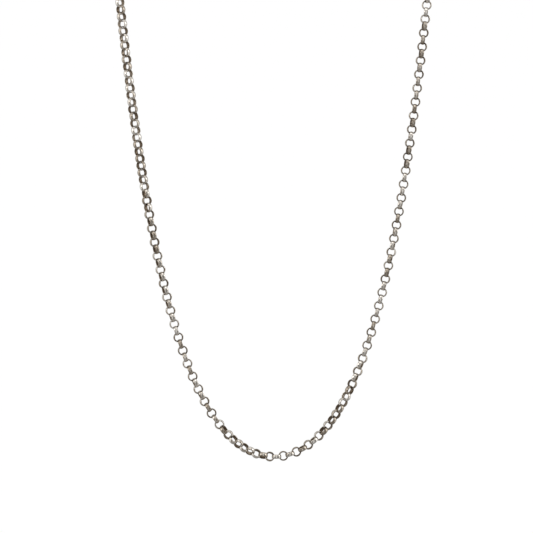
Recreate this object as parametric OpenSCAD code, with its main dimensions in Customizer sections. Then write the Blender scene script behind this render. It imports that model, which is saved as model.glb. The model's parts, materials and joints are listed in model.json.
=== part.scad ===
// Rolo chain necklace: round links of flattened wire, hanging from the neck, with a bolt ring at the nape.
// The origin is at the nape, on the line of the chain. +Z is up, and the chain hangs in front, towards -Y.

/* [Links] */
// Outer diameter of a round link
link_d = 4.0; // [3.6:0.1:6]
// Thickness of the link's wire, from the hole to the outside
wire_t = 0.5; // [0.44:0.01:0.56]
// Width of the link's wire, along the axis of the hole
wire_w = 1.6; // [1.2:0.05:1.75]
// Height of the rounding on the inner face of the wire
crown_in = 0.33; // [0.28:0.01:0.34]
// Height of the rounding on the outer face of the wire
crown_out = 0.12; // [0.05:0.01:0.14]
// Play between two links that hang in each other
link_play = 0.2; // [0.18:0.01:0.4]

/* [Hang of the chain] */
// Radius of the bend at the bottom of the loop
bottom_r = 20.8; // [18:0.1:40]
// Length of chain from the lowest point up to the shoulder
front_len = 205; // [120:1:300]
// Radius of the bend over the shoulder
shoulder_r = 26; // [22:1:40]
// Angle at which the chain rises from the shoulder to the nape
neck_rise = 30; // [10:1:60]
// Length of the straight run from the shoulder bend to the turn at the nape
side_run = 5.8; // [2:0.1:40]
// Radius of the turn behind the neck
nape_r = 50; // [30:1:52]

/* [Clasp] */
// Outer diameter of the bolt ring
bolt_d = 8; // [7:0.1:12]
// Diameter of the bolt ring's tube
bolt_wire = 1.5; // [1.2:0.1:1.8]
// Outer diameter of the bolt ring's eye
eye_d = 3.4; // [3.2:0.1:4.4]
// Diameter of the eye's wire
eye_wire = 0.7; // [0.5:0.05:0.8]
// Outer diameter of the jump rings on either side of the clasp
jump_d = 4.4; // [4.2:0.1:6]
// Diameter of the jump rings' wire
jump_wire = 0.8; // [0.5:0.05:0.9]
// Length of the thumb lug on the bolt ring
lug_len = 1.4; // [0.8:0.1:2]
// How far the clasp sits to one side of the middle of the nape
clasp_shift = 0.5; // [-2:0.1:2]

/* [Hidden] */
ring_fn = 48;
section_fn = 96;
outer_flats = 4;
silver = [0.45, 0.43, 0.40];

// Inner radius of a link and the distance between two links that hang in each other
link_r = link_d / 2;
hole_r = link_r - wire_t;
pitch_most = 2 * hole_r - link_play;

// Radii of the arcs that round the two faces of the wire
crown_in_r = (pow(wire_w / 2, 2) + pow(crown_in, 2)) / (2 * crown_in);
crown_out_r = (pow(wire_w / 2, 2) + pow(crown_out, 2)) / (2 * crown_out);

// Section of the wire before its inner face is rounded. The outer face is a row of flats, whose corners
// lie on its rounding, and one of them stands in the middle.
crown_out_angle = asin(wire_w / 2 / crown_out_r);
section = [
    for (i = [0 : outer_flats])
        let (angle = crown_out_angle * (2 * i / outer_flats - 1))
        [link_r - crown_out_r * (1 - cos(angle)), crown_out_r * sin(angle)],
    [hole_r, wire_w / 2],
    [hole_r, -wire_w / 2],
];

// Right half of the loop, from the lowest point: a hanging curve, the shoulder bend, a straight run,
// the turn behind the neck and a straight piece to the middle of the nape
function unit(v) = v / norm(v);
function asinh(v) = ln(v + sqrt(v * v + 1));
function hang_point(s) = [bottom_r * asinh(s / bottom_r), 0, sqrt(pow(bottom_r, 2) + s * s) - bottom_r];
function hang_way(s) = unit([bottom_r, 0, s]);
function arc_point(p, way, side, r, angle) = p + r * (sin(angle) * way + (1 - cos(angle)) * side);
function arc_way(way, side, angle) = cos(angle) * way + sin(angle) * side;
function arc_len(r, angle) = r * angle * PI / 180;

up_way = hang_way(front_len);
back_way = [0, cos(neck_rise), sin(neck_rise)];
shoulder_angle = acos(up_way * back_way);
shoulder_side = unit(back_way - (up_way * back_way) * up_way);
in_way = [-1, 0, 0];

shoulder_start = hang_point(front_len);
shoulder_end = arc_point(shoulder_start, up_way, shoulder_side, shoulder_r, shoulder_angle);
turn_start = shoulder_end + side_run * back_way;
turn_end = arc_point(turn_start, back_way, in_way, nape_r, 90);
nape = turn_end + turn_end[0] * in_way;

// Length along the chain at which each stretch of the right half ends
len_shoulder = front_len + arc_len(shoulder_r, shoulder_angle);
len_run = len_shoulder + side_run;
len_turn = len_run + arc_len(nape_r, 90);
half_len = len_turn + turn_end[0];

function half_point(s) =
    s < front_len ? hang_point(s) :
    s < len_shoulder ?
        arc_point(shoulder_start, up_way, shoulder_side, shoulder_r, (s - front_len) / shoulder_r * 180 / PI) :
    s < len_run ? shoulder_end + (s - len_shoulder) * back_way :
    s < len_turn ? arc_point(turn_start, back_way, in_way, nape_r, (s - len_run) / nape_r * 180 / PI) :
    turn_end + (s - len_turn) * in_way;

function half_way(s) =
    s < front_len ? hang_way(s) :
    s < len_shoulder ? arc_way(up_way, shoulder_side, (s - front_len) / shoulder_r * 180 / PI) :
    s < len_run ? back_way :
    s < len_turn ? arc_way(back_way, in_way, (s - len_run) / nape_r * 180 / PI) :
    in_way;

// The whole loop: lengths are negative on the left and positive on the right of the lowest point
function mirrored(v) = [-v[0], v[1], v[2]];
function route_point(s) = (s < 0 ? mirrored(half_point(-s)) : half_point(s)) - nape;
function route_way(s) = s < 0 ? -mirrored(half_way(-s)) : half_way(s);

// Places along the line of the clasp, from the middle of the bolt ring towards its two ends.
// The eye sinks into the bolt ring's tube, and the two are one piece.
bolt_r = bolt_d / 2 - bolt_wire / 2;
eye_r = eye_d / 2 - eye_wire / 2;
jump_r = jump_d / 2 - jump_wire / 2;
jump_hole_r = jump_r - jump_wire / 2;
eye_sink = bolt_wire / 4;
eye_x = bolt_d / 2 - eye_sink + eye_d / 2;
clasp_ring_x = eye_x + (eye_r - eye_wire / 2) + jump_hole_r - link_play;
end_ring_x = (bolt_r - bolt_wire / 2) + jump_hole_r - link_play;
first_link_x = clasp_ring_x + jump_hole_r + hole_r - link_play;
last_link_x = end_ring_x + jump_hole_r + hole_r - link_play;
bolt_x = (first_link_x - last_link_x) / 2 - clasp_shift;

// Mouth of the bolt ring, in degrees from the side away from the eye, and where its thumb lug stands
MOUTH_FROM = 35;
MOUTH_TO = 85;
LUG_AT = 93;
BOLT_SHARE = 0.7;
LUG_SHARE = 0.6;

// The links fill the loop between the two jump rings, at most pitch_most apart
chain_start = -half_len + (first_link_x + last_link_x) / 2 + clasp_shift;
chain_end = half_len - (first_link_x + last_link_x) / 2 + clasp_shift;
link_steps = ceil((chain_end - chain_start) / pitch_most);
pitch = (chain_end - chain_start) / link_steps;
left_count = floor(-chain_start / pitch) + 1;

// Twist of the chain about its own line, which makes one full turn in all. Each pair holds
// the share of the way from the left end to the right end, and the angle there in degrees.
// The angle at the end makes the last link lie flat on the neck, as the first one does.
TWIST = [
    [0.000, 0], [0.190, 49], [0.220, 54], [0.243, 48], [0.257, 44], [0.283, 52],
    [0.296, 53], [0.304, 62], [0.313, 66], [0.322, 76], [0.350, 78], [0.374, 80],
    [0.392, 90], [0.404, 92], [0.430, 83], [0.448, 86], [0.455, 92], [0.463, 113],
    [0.470, 127], [0.483, 136], [0.491, 149], [0.500, 159], [0.513, 175], [0.522, 182],
    [0.535, 190], [0.546, 200], [0.557, 204], [0.563, 218], [0.574, 242], [0.587, 241],
    [0.596, 248], [0.600, 262], [0.604, 250], [0.617, 256], [0.622, 248], [0.626, 256],
    [0.655, 247], [0.665, 248], [0.670, 265], [0.674, 251], [0.691, 258], [0.704, 262],
    [0.713, 269], [0.717, 255], [0.722, 271], [0.735, 266], [0.752, 260], [0.774, 265],
    [0.796, 264], [0.809, 260],
    [1.000, 360 - 90 * (link_steps % 2)],
];

// Turns a ring that lies flat at the origin so that its hole's axis is square to the chain
module on_route(s, turn) {
    way = route_way(s);
    back = unit([0, 1, 0] - way[1] * way);
    axis = cos(turn) * back + sin(turn) * cross(way, back);
    across = cross(axis, way);
    place = route_point(s);
    multmatrix([
        [way[0], across[0], axis[0], place[0]],
        [way[1], across[1], axis[1], place[1]],
        [way[2], across[2], axis[2], place[2]],
        [0, 0, 0, 1],
    ]) children();
}

module link() {
    rotate_extrude($fn = ring_fn) intersection() {
        polygon(section);
        translate([hole_r + crown_in_r, 0]) circle(r = crown_in_r, $fn = section_fn);
    }
}

module links(from, to) {
    for (i = [from : to])
        on_route(chain_start + i * pitch, 90 * (i % 2) + lookup(i / link_steps, TWIST)) link();
}

module round_ring(r, wire) {
    rotate_extrude($fn = ring_fn) translate([r, 0]) circle(d = wire, $fn = ring_fn);
}

module chain_left() {
    color(silver) links(0, left_count - 1);
}

module chain_right() {
    color(silver) links(left_count, link_steps);
}

// The bolt ring lies flat on the neck: a thick tube, and the thin bolt that closes its mouth
module clasp() {
    color(silver) translate([bolt_x, 0, 0]) rotate([90, 0, 0]) {
        round_ring(bolt_r, bolt_wire * BOLT_SHARE);
        rotate([0, 0, MOUTH_TO]) rotate_extrude(angle = 360 - MOUTH_TO + MOUTH_FROM, $fn = ring_fn)
            translate([bolt_r, 0]) circle(d = bolt_wire, $fn = ring_fn);
        translate([-eye_x, 0, 0]) round_ring(eye_r, eye_wire);
        rotate([0, 0, LUG_AT]) translate([bolt_r, 0, 0]) rotate([0, 90, 0])
            cylinder(d = bolt_wire * LUG_SHARE, h = bolt_wire / 2 + lug_len, $fn = ring_fn);
    }
}

module clasp_ring() {
    color(silver) translate([bolt_x - clasp_ring_x, 0, 0]) round_ring(jump_r, jump_wire);
}

module end_ring() {
    color(silver) translate([bolt_x + end_ring_x, 0, 0]) round_ring(jump_r, jump_wire);
}

chain_left();
chain_right();
clasp();
clasp_ring();
end_ring();
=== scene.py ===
"""Looks of a rolo chain necklace: every link as a smooth ring of darkened silver, the clasp, a pale sweep,
soft studio light and the camera."""

import json
import math

import bmesh
import bpy
import numpy as np
from mathutils import Matrix, Vector


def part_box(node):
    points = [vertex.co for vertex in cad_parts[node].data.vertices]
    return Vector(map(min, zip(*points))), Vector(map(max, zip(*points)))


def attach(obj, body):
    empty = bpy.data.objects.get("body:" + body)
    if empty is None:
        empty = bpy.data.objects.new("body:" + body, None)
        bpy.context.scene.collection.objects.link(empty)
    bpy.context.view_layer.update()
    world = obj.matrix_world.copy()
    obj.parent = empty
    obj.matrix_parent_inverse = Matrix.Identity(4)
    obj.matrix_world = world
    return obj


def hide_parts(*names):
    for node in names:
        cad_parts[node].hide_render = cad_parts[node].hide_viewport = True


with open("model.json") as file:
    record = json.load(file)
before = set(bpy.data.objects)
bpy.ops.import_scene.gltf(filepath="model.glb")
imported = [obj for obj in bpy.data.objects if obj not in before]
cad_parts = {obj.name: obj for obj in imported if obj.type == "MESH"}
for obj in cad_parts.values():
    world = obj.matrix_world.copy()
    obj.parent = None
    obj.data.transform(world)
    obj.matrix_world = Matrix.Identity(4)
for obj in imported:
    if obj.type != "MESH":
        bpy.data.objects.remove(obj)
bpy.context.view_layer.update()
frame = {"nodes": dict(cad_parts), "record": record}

MM = 0.001
SEED = 11
WHITE = (1, 1, 1, 1)

# Steps in a metre to which corners of the CAD mesh are matched
MATCH_STEPS = 1e7

# Sizes of a link in millimetres. Its radius and half its width are the part's. Its hole is a hair narrower
# than the part's, so that links look in touch.
LINK_R = 2.0
HOLE_R = 1.475
HALF_W = 0.8

# How finely a link is drawn: steps round the ring, across each face of its wire and round each rim
RING_STEPS = 64
FACE_STEPS = 6
RIM_STEPS = 4

# How dark the rims of the outer face are, from 0 for polished to 1, and the power by which the darkness rises
# to the inner face beyond them
EDGE_DARK = 0.26
EDGE_FADE = 3

# How far a link departs from a perfect ring. The ovality is a share of its radius, and the dents are in
# millimetres: waves with two to six crests in a turn, of which one share goes into the radius and another
# along the hole's axis. The solder seam's swelling is in millimetres too, and the tilt is in degrees.
OVALITY = 0.006
DENT = 0.012
DENT_WAVES = range(2, 7)
DENT_IN_RADIUS = 0.5
DENT_ALONG_AXIS = 0.3
SEAM_SWELL = 0.02
TILT = 1.5

# Half the length of the solder seam in degrees, how far it strays from the middle of the link's side in
# radians, and the span in radians, about a full turn, in which a wave may start
SEAM_HALF_ANGLE = 9
SEAM_STRAY = 0.3
ANY_START = 6.3

# How far a link may lean at random in degrees, near the neck and where the chain hangs, and the link from
# which on it hangs, counted from the clasp
LOOSE_LEAN = 5
HUNG_LEAN = 1.5
HUNG_FROM = 44

# How far single links of the front lean about the chain's own line, in degrees, by their number from the
# chain's left end
LEANS = {
    46: -9, 47: 6, 51: 5, 55: 6, 56: -4, 58: -7, 60: -5, 61: 3, 62: -7, 63: 6, 65: 4, 66: -9,
    67: 3, 68: -7, 70: 4, 71: 3, 72: -5, 73: 3, 77: -5, 79: 3, 82: -3, 84: -4, 89: -3, 90: 5,
    91: -5, 93: -5, 94: 3, 95: -4, 96: 4, 101: -6, 102: 3, 103: 6, 105: 5, 106: 4,
    115: 8, 116: 6, 118: 3, 121: -3, 123: 5, 125: 6, 129: 1, 130: -5, 136: 9, 137: 9,
    140: 5, 141: -5, 143: 3, 144: 3, 145: -4, 147: -5, 149: 12, 151: -4, 153: -1, 156: 5, 157: 5,
    158: -5, 159: 5, 162: -5, 163: -8, 165: 2, 166: -2, 168: -4, 170: 4, 172: -6, 174: -6, 175: 6,
    176: -7, 177: 4, 179: 4, 181: 3, 182: -9, 183: 3, 184: 7, 185: 7, 186: -4, 187: -4,
}


def add_object(name, data):
    """A new object of the scene."""
    made = bpy.data.objects.new(name, data)
    bpy.context.scene.collection.objects.link(made)
    return made


def new_piece(name, places, faces, dark, tone):
    """A smooth piece, which keeps a darkening and a tone at each of its corners for its material."""
    mesh = bpy.data.meshes.new(name)
    mesh.from_pydata(places, [], faces)
    mesh.attributes.new("darkening", "FLOAT", "POINT").data.foreach_set("value", dark)
    mesh.attributes.new("tone", "FLOAT", "POINT").data.foreach_set("value", tone)
    mesh.shade_smooth()
    mesh.update()
    return add_object(name, mesh)


def loose_parts(node_name):
    """The corners of each separate solid of a CAD node, as arrays in metres."""
    mesh = frame["nodes"][node_name].data
    places = np.zeros(len(mesh.vertices) * 3)
    mesh.vertices.foreach_get("co", places)
    places = places.reshape(-1, 3)
    edges = np.zeros(len(mesh.edges) * 2, int)
    mesh.edges.foreach_get("vertices", edges)
    _, same = np.unique(np.round(places * MATCH_STEPS).astype(np.int64), axis=0, return_inverse=True)
    edges = same.reshape(-1)[edges].reshape(-1, 2)
    label = np.arange(same.max() + 1)
    while True:
        least = np.minimum(label[edges[:, 0]], label[edges[:, 1]])
        new = label.copy()
        np.minimum.at(new, edges[:, 0], least)
        np.minimum.at(new, edges[:, 1], least)
        new = new[new]
        if (new == label).all():
            break
        label = new
    owner = label[same.reshape(-1)]
    return [places[owner == solid] for solid in np.unique(owner)]


def ring_place(corners):
    """Centre and hole axis of a ring from its corners."""
    middle = corners.mean(0)
    _, ways = np.linalg.eigh(np.cov((corners - middle).T))
    along = (corners - middle) @ ways
    centre = middle + ways @ ((along.min(0) + along.max(0)) / 2)
    return centre, ways[:, 0]


def in_chain_order(rings, start):
    """The rings sorted along the chain, from the one nearest to a point."""
    left = list(rings)
    ordered = []
    here = np.array(start)
    while left:
        nearest = min(range(len(left)), key=lambda i: np.linalg.norm(left[i][0] - here))
        ordered.append(left.pop(nearest))
        here = ordered[-1][0]
    return ordered


def link_frames(node_name, start):
    """Centre and turning matrix of each link: own Z is the hole's axis, and own X runs along the chain."""
    rings = in_chain_order([ring_place(part) for part in loose_parts(node_name)], start)
    centres = np.array([centre for centre, _ in rings])
    ways = np.gradient(centres, axis=0)
    frames = []
    for (centre, axis), way in zip(rings, ways):
        way = way - (way @ axis) * axis
        way = way / np.linalg.norm(way)
        frames.append((centre, np.column_stack([way, np.cross(axis, way), axis])))
    return frames


def wire_section(hole_r, crown_in, crown_out, power, rim_round):
    """The outline of a link's wire: radius, height and darkening of each corner.

    A crown is how far the middle of a face stands out from its rims, and a higher power makes it flatter
    there. The rounding is how much of the wire's width each rounded rim takes.
    """
    rim_z = HALF_W - rim_round
    outer_rim = LINK_R - crown_out
    inner_rim = hole_r + crown_in
    middle = (outer_rim + inner_rim) / 2
    half = (outer_rim - inner_rim) / 2
    rows = []
    # The outer face and the rim above it, then the inner face and the rim below it
    for side, face_r, crown in ((1, LINK_R, -crown_out), (-1, hole_r, crown_in)):
        for share in np.linspace(-side, side, FACE_STEPS + 1):
            dark = EDGE_DARK * share**2 if side > 0 else 1.0
            rows.append((face_r + crown * abs(share) ** power, share * rim_z, dark))
        for k in range(1, RIM_STEPS):
            turn = math.pi * k / RIM_STEPS
            dark = EDGE_DARK + (1 - EDGE_DARK) * (0.5 - side * 0.5 * math.cos(turn)) ** EDGE_FADE
            height = side * (rim_z + rim_round * math.sin(turn))
            rows.append((middle + side * half * math.cos(turn), height, dark))
    return np.array(rows)


# The wire where another link hangs in it, and the fuller wire beside that place, in millimetres. The one
# turns smoothly into the other while the sine of the angle from the chain's line goes between two values.
HANG_SECTION = wire_section(hole_r=HOLE_R, crown_in=0.31, crown_out=0.2, power=2, rim_round=0.07)
SIDE_SECTION = wire_section(hole_r=1.41, crown_in=0.05, crown_out=0.12, power=3, rim_round=0.16)
HANG_END = 0.5
SIDE_START = 0.85


def link_mesh(centre, turn, lean, rng):
    """Corners and darkening of one link, slightly out of true as a soldered ring is."""
    angle = np.linspace(0, 2 * math.pi, RING_STEPS, endpoint=False)[:, None]
    share = np.clip((np.abs(np.sin(angle)) - HANG_END) / (SIDE_START - HANG_END), 0, 1)
    share = share * share * (3 - 2 * share)
    radius, height, dark = [HANG_SECTION[:, k] * (1 - share) + SIDE_SECTION[:, k] * share for k in range(3)]
    oval = 1 - OVALITY * (0.5 + 0.5 * np.cos(2 * (angle - rng.uniform(0, math.pi))))
    wave = DENT * sum(
        rng.uniform(-1, 1) * np.sin(k * angle + rng.uniform(0, ANY_START)) / k for k in DENT_WAVES
    )
    seam_at = math.pi / 2 + rng.choice([0, math.pi]) + rng.uniform(-SEAM_STRAY, SEAM_STRAY)
    off_seam = np.abs((angle - seam_at + math.pi) % (2 * math.pi) - math.pi)
    half_swell = SEAM_SWELL / 2 * np.exp(-((off_seam / math.radians(SEAM_HALF_ANGLE)) ** 2))
    outward = (radius - (LINK_R + HOLE_R) / 2) / ((LINK_R - HOLE_R) / 2)
    r = np.minimum(radius * oval + wave * DENT_IN_RADIUS + outward * half_swell, LINK_R)
    z = height * (1 + half_swell) + wave * DENT_ALONG_AXIS
    own = np.stack([r * np.cos(angle), r * np.sin(angle), z + 0 * angle], -1).reshape(-1, 3)
    tilt = Matrix.Rotation(math.radians(lean), 3, "X")
    tilt = np.array(tilt @ Matrix.Rotation(math.radians(rng.uniform(-TILT, TILT)), 3, "Y"))
    places = centre + (own * MM) @ (turn @ tilt).T
    return places, dark.reshape(-1)


def ring_faces(steps, corners):
    """Quads of a closed ring whose section has that many corners."""
    i = np.arange(steps)[:, None]
    j = np.arange(corners)[None, :]
    a = i * corners + j
    b = i * corners + (j + 1) % corners
    c = ((i + 1) % steps) * corners + (j + 1) % corners
    d = ((i + 1) % steps) * corners + j
    return np.stack([a, d, c, b], -1).reshape(-1, 4)


def chain_piece(name, frames, leans, rng):
    """One piece of all the links at the given places, each with a tone of its own."""
    faces_of_one = ring_faces(RING_STEPS, len(HANG_SECTION))
    places, dark, tone, faces = [], [], [], []
    for number, (centre, turn) in enumerate(frames):
        points, shade = link_mesh(centre, turn, leans[number], rng)
        places.append(points)
        dark.append(shade)
        tone.append(np.full(len(points), rng.uniform(0, 1)))
        faces.append(faces_of_one + number * len(points))
    places, dark, tone, faces = [np.concatenate(rows) for rows in (places, dark, tone, faces)]
    return new_piece(name, places.tolist(), faces.tolist(), dark, tone)


def new_material(name):
    """An empty node material and its Principled shader."""
    material = bpy.data.materials.new(name)
    material.use_nodes = True
    return material, material.node_tree.nodes["Principled BSDF"]


def node(tree, kind, **settings):
    """A shader node with its settings and unlinked inputs."""
    made = tree.nodes.new(kind)
    for key, value in settings.items():
        if key in made.inputs:
            made.inputs[key].default_value = value
        else:
            setattr(made, key, value)
    return made


def scaled(tree, value, factor, plus, clamp=False):
    """An output times a factor, plus a number or another output."""
    made = node(tree, "ShaderNodeMath", operation="MULTIPLY_ADD", use_clamp=clamp)
    tree.links.new(value, made.inputs[0])
    made.inputs[1].default_value = factor
    if isinstance(plus, float):
        made.inputs[2].default_value = plus
    else:
        tree.links.new(plus, made.inputs[2])
    return made.outputs[0]


def ramp(tree, value, stops):
    """The colour that a ramp with the given places and colours gives for an output."""
    made = tree.nodes.new("ShaderNodeValToRGB")
    elements = made.color_ramp.elements
    for place, _ in stops[len(elements):]:
        elements.new(place)
    for element, (place, colour) in zip(elements, stops):
        element.position = place
        element.color = (*colour, 1)
    tree.links.new(value, made.inputs[0])
    return made.outputs[0]


def grey(level):
    """The grey of that level."""
    return (level, level, level)


# Colour of the silver by its patina, and on the clasp also by painted shade, from polished over dulled to
# blackened
SILVER_RAMP = (
    (0.0, (0.91, 0.866, 0.802)),
    (0.4, (0.53, 0.459, 0.375)),
    (0.95, (0.168, 0.126, 0.088)),
)

# Patina that the darkened places and a link's own tone add, and that of a polished place of the lightest
# tone.
# On the clasp the darkened places also hold painted shade on the inside of its rings
PATINA_AND_SHADE_DARKENED = 0.82
PATINA_TONE = 0.62
PATINA_LEAST = -0.1

# How cloudy the patina is on the chain and on the clasp
CHAIN_CLOUD = 1.5
CLASP_CLOUD = 0.8

# Roughness of polished silver, and how much rougher full patina makes it
ROUGH_POLISHED = 0.19
ROUGH_MORE = 0.2

# The clouds and the fine grain of the metal, and the relief of each, with its depth in metres
CLOUDS = {"Scale": 1300.0, "Detail": 4.0, "Roughness": 0.6}
CLOUD_RELIEF = {"Strength": 0.6, "Distance": 0.00012}
GRAIN = {"Scale": 5000.0, "Detail": 3.0}
GRAIN_RELIEF = {"Strength": 0.25, "Distance": 0.00003}


def dark_silver(name, cloud):
    """Silver that is polished, cloudy to the given degree, and nearly black where its darkening lies."""
    material, shader = new_material(name)
    tree = material.node_tree
    link = tree.links.new
    spot = node(tree, "ShaderNodeTexCoord").outputs["Object"]
    darkening = node(tree, "ShaderNodeAttribute", attribute_name="darkening").outputs["Fac"]
    tone = node(tree, "ShaderNodeAttribute", attribute_name="tone").outputs["Fac"]
    clouds = node(tree, "ShaderNodeTexNoise", **CLOUDS)
    link(spot, clouds.inputs["Vector"])
    grain = node(tree, "ShaderNodeTexNoise", **GRAIN)
    link(spot, grain.inputs["Vector"])

    uneven = scaled(tree, clouds.outputs["Fac"], cloud, PATINA_LEAST - cloud / 2)
    toned = scaled(tree, tone, PATINA_TONE, uneven)
    # The darkening is patina, and on the clasp it is also painted shade on the inside of its rings
    patina_and_shade = scaled(tree, darkening, PATINA_AND_SHADE_DARKENED, toned, clamp=True)
    link(ramp(tree, patina_and_shade, SILVER_RAMP), shader.inputs["Base Color"])
    link(scaled(tree, patina_and_shade, ROUGH_MORE, ROUGH_POLISHED), shader.inputs["Roughness"])
    shader.inputs["Metallic"].default_value = 1.0

    fine = node(tree, "ShaderNodeBump", **GRAIN_RELIEF)
    link(grain.outputs["Fac"], fine.inputs["Height"])
    relief = node(tree, "ShaderNodeBump", **CLOUD_RELIEF)
    link(clouds.outputs["Fac"], relief.inputs["Height"])
    link(fine.outputs[0], relief.inputs["Normal"])
    link(relief.outputs[0], shader.inputs["Normal"])
    return material


def dress(piece, material, slot, *nodes):
    """Gives a piece its material and ties it to the part."""
    piece.data.materials.clear()
    piece.data.materials.append(material)
    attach(piece, "root")
    if nodes:
        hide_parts(*nodes)


def make_chain(material):
    """The links of both strands, each strand as a piece round the neck and a piece that hangs in front."""
    rng = np.random.default_rng(SEED)
    strands = {}
    for side, ring in (("chain_left", "clasp_ring"), ("chain_right", "end_ring")):
        low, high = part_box(ring)
        strands[side] = link_frames(side, (low + high) / 2)
    last = sum(len(frames) for frames in strands.values()) - 1
    for side, frames in strands.items():
        leans = []
        for count in range(len(frames)):
            number, hand = (count, 1) if side == "chain_left" else (last - count, -1)
            swing = HUNG_LEAN if count >= HUNG_FROM else LOOSE_LEAN
            leans.append(hand * LEANS.get(number, 0) + rng.uniform(-swing, swing))
        half = len(frames) // 2
        for place, some in (("neck", slice(0, half)), ("front", slice(half, None))):
            piece = chain_piece(f"{side}_{place}", frames[some], leans[some], rng)
            dress(piece, material, "chain_silver", side)


# Sizes of the clasp in millimetres and degrees, as in the part. Each ring is of round wire, and its radius
# goes to the middle of the wire unless it is called outer. The eye sinks into the bolt ring's tube.
BOLT_OUTER_R = 4.0
BOLT_TUBE_R = 0.75
BOLT_THIN_R = 0.525
BOLT_R = BOLT_OUTER_R - BOLT_TUBE_R
MOUTH_FROM = 35
MOUTH_TO = 85
EYE_OUTER_R = 1.7
EYE_WIRE_R = 0.35
EYE_R = EYE_OUTER_R - EYE_WIRE_R
EYE_SINK = BOLT_TUBE_R / 2
EYE_X = BOLT_OUTER_R - EYE_SINK + EYE_OUTER_R
JUMP_OUTER_R = 2.2
JUMP_WIRE_R = 0.4
JUMP_R = JUMP_OUTER_R - JUMP_WIRE_R

# The thumb lug: its angle round the bolt ring, its end, its radius, and its profile as pairs of distance and
# radius, up to where its rounded tip starts. Distances are from the middle of the tube. The lug is dark up to
# its neck.
LUG_AT = 93
LUG_END = 2.15
LUG_R = 0.45
LUG_PROFILE = ((0.0, 0.36), (1.1, 0.36), (1.35, 0.33), (1.55, 0.37), (1.7, LUG_R), (1.9, LUG_R))
LUG_NECK = 1.5

# How far the bolt's two ends reach into the tube, and where the fine cuts of the eye and the two jump rings
# lie, all in degrees
BOLT_HIDDEN = 3
EYE_CUT_AT = 60
JUMP_RINGS = (("clasp_jump_ring", "clasp_ring", 100), ("end_jump_ring", "end_ring", 80))

# Small forms in millimetres and degrees: the rounding of wire ends, the beads near the tube's two ends, and
# the fine cut where the ends of a ring's wire meet
END_ROUND = 0.2
BEAD_AWAY = 5.0
BEAD_HALF = 2.6
BEAD_PROUD = 0.06
CUT_HALF = 1.6
CUT_DEEP = 0.05

# How dark the clasp is all over, and how much is added on the inside of its rings, in a cut and at an end,
# with half the length of that dark end in degrees. The darkening on the inside of the rings is partly patina
# and partly painted shade that rounds the wire. Then how dark the lug's stem and head are, and the tone
CLASP_DARK = 0.15
INSIDE_PATINA_AND_SHADE = 0.75
CUT_DARK = 0.8
END_DARK = 0.6
END_DARK_HALF = 2.0
STEM_DARK = 0.6
HEAD_DARK = 0.12
CLASP_TONE = 0.3

# How finely the clasp is drawn: corners round a wire, steps along an arc and steps of a rounded end
WIRE_CORNERS = 24
ARC_STEPS = 120
END_STEPS = 6


def arc_wire(centre, ring_r, angles, radii, dark, flat):
    """Corners and darkening of a round wire along an arc, which stands upright or lies flat."""
    turn = np.radians(angles)[:, None]
    round_wire = np.linspace(0, 2 * math.pi, WIRE_CORNERS, endpoint=False)[None, :]
    r = ring_r + radii[:, None] * np.cos(round_wire)
    x = centre[0] + r * np.cos(turn)
    y = -radii[:, None] * np.sin(round_wire) + 0 * turn
    z = r * np.sin(turn)
    if flat:
        y, z = z, y
    # Darker towards the inside of the ring: partly patina, partly painted shade that gives the round wire its
    # form
    inside = 0.5 - 0.5 * np.cos(round_wire)
    shade = np.clip(dark[:, None] + INSIDE_PATINA_AND_SHADE * inside**2 + 0 * turn, 0, 1)
    return np.stack([x, centre[1] + y, centre[2] + z], -1).reshape(-1, 3), shade.reshape(-1)


def closed_ring(centre, ring_r, wire_r, cut_at, flat):
    """A ring of round wire with the fine cut where its ends meet."""
    angles = np.linspace(0, 360, ARC_STEPS, endpoint=False)
    off = np.abs((angles - cut_at + 180) % 360 - 180)
    cut = np.exp(-((off / CUT_HALF) ** 2))
    radii = wire_r - CUT_DEEP * cut
    places, shade = arc_wire(centre, ring_r, angles, radii, CLASP_DARK + CUT_DARK * cut, flat)
    return places, shade, ring_faces(ARC_STEPS, WIRE_CORNERS)


def tube_faces(rows):
    """Quads of an open tube with that many rows of corners."""
    return ring_faces(rows, WIRE_CORNERS)[: (rows - 1) * WIRE_CORNERS]


def open_arc(centre, ring_r, wire_r, start, end, bead_proud):
    """A piece of round wire along an upright arc, with rounded ends and a bead near each of them."""
    degrees = math.degrees(END_ROUND / ring_r)
    curve = np.linspace(0, math.pi / 2, END_STEPS + 1)
    lead = degrees * (1 - np.cos(curve[:-1]))
    thin = END_ROUND * (1 - np.sin(curve[:-1]))
    middle = np.linspace(start + degrees, end - degrees, ARC_STEPS)
    angles = np.concatenate([start + lead, middle, (end - lead)[::-1]])
    less = np.concatenate([thin, np.zeros(ARC_STEPS), thin[::-1]])
    bead = 0
    for place in (start + BEAD_AWAY, end - BEAD_AWAY):
        bead = bead + bead_proud * np.exp(-(((angles - place) / BEAD_HALF) ** 4))
    near_end = np.exp(-((np.minimum(angles - start, end - angles) / END_DARK_HALF) ** 2))
    radii = wire_r - less + bead
    places, shade = arc_wire(centre, ring_r, angles, radii, CLASP_DARK + END_DARK * near_end, False)
    return places, shade, tube_faces(len(angles))


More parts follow.
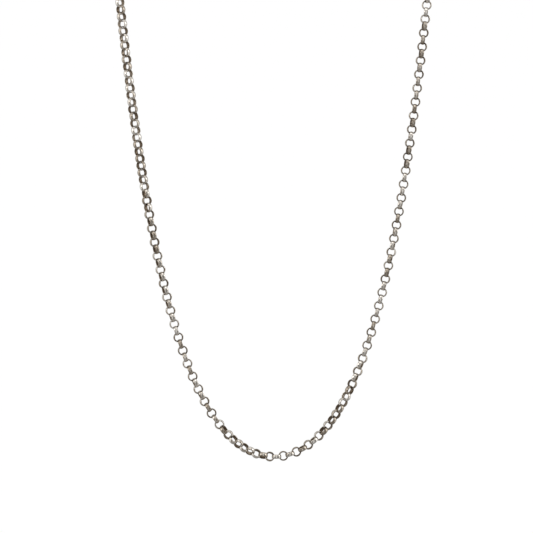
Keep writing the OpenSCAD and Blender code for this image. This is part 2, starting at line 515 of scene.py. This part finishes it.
def lug(centre):
    """The thumb lug: a short stem with a rounded tip, which stands out from the tube."""
    profile = list(LUG_PROFILE)
    tip_start = LUG_PROFILE[-1][0]
    for k in range(1, END_STEPS):
        turn = math.pi / 2 * k / END_STEPS
        profile.append((tip_start + (LUG_END - tip_start) * math.sin(turn), LUG_R * math.cos(turn)))
    out, radius = np.array(profile).T
    turn = np.linspace(0, 2 * math.pi, WIRE_CORNERS, endpoint=False)[None, :]
    side = radius[:, None] * np.cos(turn)
    depth = radius[:, None] * np.sin(turn)
    reach = BOLT_R + out[:, None] + 0 * turn
    c = math.cos(math.radians(LUG_AT))
    s = math.sin(math.radians(LUG_AT))
    places = np.stack([
        centre[0] + reach * c - side * s,
        centre[1] + depth,
        centre[2] + reach * s + side * c,
    ], -1).reshape(-1, 3)
    shade = np.repeat(np.where(out < LUG_NECK, STEM_DARK, HEAD_DARK), WIRE_CORNERS)
    return places, shade, tube_faces(len(out))


def solid_piece(name, shells):
    """One piece of several shells given in millimetres, with each open end of a shell closed by a face."""
    places, shade, faces = [], [], []
    start = 0
    for points, dark, quads in shells:
        faces += [tuple(int(k) + start for k in quad) for quad in quads]
        if len(quads) < len(points):
            faces.append(tuple(range(start, start + WIRE_CORNERS)))
            last = start + len(points) - WIRE_CORNERS
            faces.append(tuple(reversed(range(last, last + WIRE_CORNERS))))
        places.append(points * MM)
        shade.append(dark)
        start += len(points)
    tone = np.full(start, CLASP_TONE)
    piece = new_piece(name, np.concatenate(places).tolist(), faces, np.concatenate(shade), tone)
    turned = bmesh.new()
    turned.from_mesh(piece.data)
    bmesh.ops.recalc_face_normals(turned, faces=turned.faces)
    turned.to_mesh(piece.data)
    turned.free()
    piece.data.update()
    return piece


def middle_of(node_name):
    """The middle of a CAD node's box, in millimetres."""
    low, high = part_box(node_name)
    return np.array((low + high) / 2) / MM


def make_clasp(material):
    """The bolt ring with its bolt, eye and thumb lug, and the jump ring on either side of it."""
    _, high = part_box("clasp")
    centre = np.array([high[0] / MM - BOLT_OUTER_R, 0.0, 0.0])
    eye = centre - np.array([EYE_X, 0, 0])
    bolt_from = MOUTH_FROM - BOLT_HIDDEN
    bolt_to = MOUTH_TO + BOLT_HIDDEN
    bolt_ring = solid_piece("bolt_ring", [
        open_arc(centre, BOLT_R, BOLT_TUBE_R, MOUTH_TO, MOUTH_FROM + 360, BEAD_PROUD),
        open_arc(centre, BOLT_R, BOLT_THIN_R, bolt_from, bolt_to, 0.0),
        closed_ring(eye, EYE_R, EYE_WIRE_R, EYE_CUT_AT, False),
        lug(centre),
    ])
    dress(bolt_ring, material, "clasp_silver", "clasp")
    for name, node_name, cut_at in JUMP_RINGS:
        ring = solid_piece(name, [closed_ring(middle_of(node_name), JUMP_R, JUMP_WIRE_R, cut_at, True)])
        dress(ring, material, "clasp_silver", node_name)


# The camera looks at a point in the plane of the hanging front, given from the lowest point of the loop
CAMERA_AIM = Vector((-3.6, 0, 77.12)) * MM
CAMERA_DISTANCE = 602.45 * MM
CAMERA_YAW = math.radians(8.03)
CAMERA_HEIGHT = math.radians(3.10)

# The picture's side and the focal length in pixels, the sensor's width in millimetres, and the nearest
# distance that shows in metres
IMAGE_SIDE = 533
FOCAL_PIXELS = 1500
SENSOR = 36
CLIP_START = 0.01


def lowest_point():
    """The lowest point of the loop, where a pendant would hang."""
    mounts = {mount["name"]: mount for mount in frame["record"]["mounts"]}
    return Vector(mounts["pendant_seat"]["pos_m"])


def camera_aim():
    """The point that the camera and the lights look at, in the middle of the hanging front."""
    return lowest_point() + CAMERA_AIM


def to_camera():
    """The way from the middle of the hanging front to the camera."""
    level = math.cos(CAMERA_HEIGHT)
    return Vector((-math.sin(CAMERA_YAW) * level, -math.cos(CAMERA_YAW) * level, math.sin(CAMERA_HEIGHT)))


def look(thing, way):
    """Turns a camera or a lamp so that it looks along a way."""
    thing.rotation_euler = way.to_track_quat("-Z", "Y").to_euler()


def make_camera():
    """The camera stands at the photograph's angle."""
    data = bpy.data.cameras.new("camera")
    data.sensor_width = SENSOR
    data.lens = FOCAL_PIXELS * SENSOR / IMAGE_SIDE
    data.clip_start = CLIP_START
    camera = add_object("camera", data)
    camera.location = camera_aim() + to_camera() * CAMERA_DISTANCE
    look(camera, -to_camera())
    bpy.context.scene.camera = camera


# Sizes of the sweep in metres. Its floor lies below the lowest point of the loop, and its front and back edge
# are measured backwards from the nape.
FLOOR_DROP = 0.12
SWEEP_HALF_WIDTH = 2.5
SWEEP_FRONT = -2.0
SWEEP_BACK = 1.2
SWEEP_ROUND = 0.6
SWEEP_TOP = 2.5
SWEEP_STEPS = 12

# How much light the sweep reflects and gives off
SWEEP_GREY = 0.04
SWEEP_GLOW = 0.98


def make_sweep():
    """A plain pale floor that curves up into a backdrop. It shows, but the metal doesn't reflect it."""
    floor_z = lowest_point().z - FLOOR_DROP
    outline = [(SWEEP_FRONT, floor_z)]
    for k in range(SWEEP_STEPS + 1):
        turn = math.pi / 2 * k / SWEEP_STEPS
        y = SWEEP_BACK - SWEEP_ROUND + SWEEP_ROUND * math.sin(turn)
        outline.append((y, floor_z + SWEEP_ROUND * (1 - math.cos(turn))))
    outline.append((SWEEP_BACK, floor_z + SWEEP_TOP))
    corners = [(x, y, z) for y, z in outline for x in (-SWEEP_HALF_WIDTH, SWEEP_HALF_WIDTH)]
    faces = [(2 * k, 2 * k + 1, 2 * k + 3, 2 * k + 2) for k in range(len(outline) - 1)]
    mesh = bpy.data.meshes.new("sweep")
    mesh.from_pydata(corners, [], faces)
    mesh.shade_smooth()
    sweep = add_object("sweep", mesh)
    material, shader = new_material("sweep_white")
    shader.inputs["Base Color"].default_value = (*grey(SWEEP_GREY), 1)
    shader.inputs["Roughness"].default_value = 1.0
    shader.inputs["Specular IOR Level"].default_value = 0.0
    shader.inputs["Emission Color"].default_value = WHITE
    shader.inputs["Emission Strength"].default_value = SWEEP_GLOW
    mesh.materials.append(material)
    sweep.visible_glossy = False
    sweep.visible_diffuse = False


# How bright the room is: all round, by the share of half a turn from the camera's side, then overhead and
# below. The change comes between two steepnesses of the way, where 0 is level and 1 is straight up or down.
ROOM_ROUND = (
    (0.0, 0.85), (0.03, 0.8), (0.08, 0.4), (0.13, 0.2), (0.2, 0.15), (0.3, 0.26), (0.4, 0.75), (0.5, 1.15),
    (0.6, 0.75), (0.7, 0.5), (0.8, 0.45), (1.0, 0.55),
)
ROOM_OVERHEAD = 0.6
ROOM_BELOW = 0.34
ROOM_TURN_UP = (0.35, 0.8)

# The inputs and the output of a mix node that carry colours
MIX_FIRST = 6
MIX_SECOND = 7
MIX_RESULT = 2


def mixed(tree, factor, first, second):
    """A mix from a colour output to a fixed colour."""
    made = node(tree, "ShaderNodeMix", data_type="RGBA")
    tree.links.new(factor, made.inputs["Factor"])
    tree.links.new(first, made.inputs[MIX_FIRST])
    made.inputs[MIX_SECOND].default_value = second
    return made.outputs[MIX_RESULT]


def share_from_camera(tree, way):
    """How far a way turns from the camera's side, as a share of half a turn."""
    level_way = node(tree, "ShaderNodeVectorMath", operation="MULTIPLY")
    tree.links.new(way, level_way.inputs[0])
    level_way.inputs[1].default_value = (1, 1, 0)
    unit_way = node(tree, "ShaderNodeVectorMath", operation="NORMALIZE")
    tree.links.new(level_way.outputs[0], unit_way.inputs[0])
    facing = node(tree, "ShaderNodeVectorMath", operation="DOT_PRODUCT")
    tree.links.new(unit_way.outputs[0], facing.inputs[0])
    facing.inputs[1].default_value = (-math.sin(CAMERA_YAW), -math.cos(CAMERA_YAW), 0)
    angle = node(tree, "ShaderNodeMath", operation="ARCCOSINE")
    tree.links.new(facing.outputs["Value"], angle.inputs[0])
    share = node(tree, "ShaderNodeMath", operation="DIVIDE")
    tree.links.new(angle.outputs[0], share.inputs[0])
    share.inputs[1].default_value = math.pi
    return share.outputs[0]


def make_world():
    """The room that the metal reflects, uneven all round. The camera itself sees plain white."""
    world = bpy.data.worlds.new("room")
    bpy.context.scene.world = world
    world.use_nodes = True
    tree = world.node_tree
    background = tree.nodes["Background"]
    way = node(tree, "ShaderNodeTexCoord").outputs["Generated"]
    stops = [(place, grey(level)) for place, level in ROOM_ROUND]
    light = ramp(tree, share_from_camera(tree, way), stops)
    height = node(tree, "ShaderNodeSeparateXYZ")
    tree.links.new(way, height.inputs[0])
    for sign, level in ((1, ROOM_OVERHEAD), (-1, ROOM_BELOW)):
        turned = node(tree, "ShaderNodeMapRange", interpolation_type="SMOOTHSTEP")
        tree.links.new(height.outputs["Z"], turned.inputs["Value"])
        turned.inputs["From Min"].default_value = sign * ROOM_TURN_UP[0]
        turned.inputs["From Max"].default_value = sign * ROOM_TURN_UP[1]
        light = mixed(tree, turned.outputs["Result"], light, (*grey(level), 1))
    seen = node(tree, "ShaderNodeLightPath").outputs["Is Camera Ray"]
    tree.links.new(mixed(tree, seen, light, WHITE), background.inputs["Color"])
    background.inputs["Strength"].default_value = 1.0


# The softboxes: name, place in metres from the middle of the hanging front, side in metres and power in watts
SOFTBOXES = (
    ("light_left", (-0.9, -0.45, 0.35), 0.6, 2.2),
    ("light_right", (0.95, -0.4, 0.45), 0.6, 1.8),
    ("light_top", (0, -0.3, 1.1), 0.7, 1.5),
)


def make_lights():
    """Square area lights at both sides and overhead, which point at the middle of the hanging front."""
    for name, place, side, power in SOFTBOXES:
        data = bpy.data.lights.new(name, "AREA")
        data.shape = "SQUARE"
        data.size = side
        data.energy = power
        lamp = add_object(name, data)
        lamp.location = camera_aim() + Vector(place)
        look(lamp, camera_aim() - lamp.location)


make_chain(dark_silver("darkened_silver", CHAIN_CLOUD))
make_clasp(dark_silver("clasp_metal", CLASP_CLOUD))
make_sweep()
make_world()
make_lights()
make_camera()
bpy.context.scene.view_settings.view_transform = "Standard"
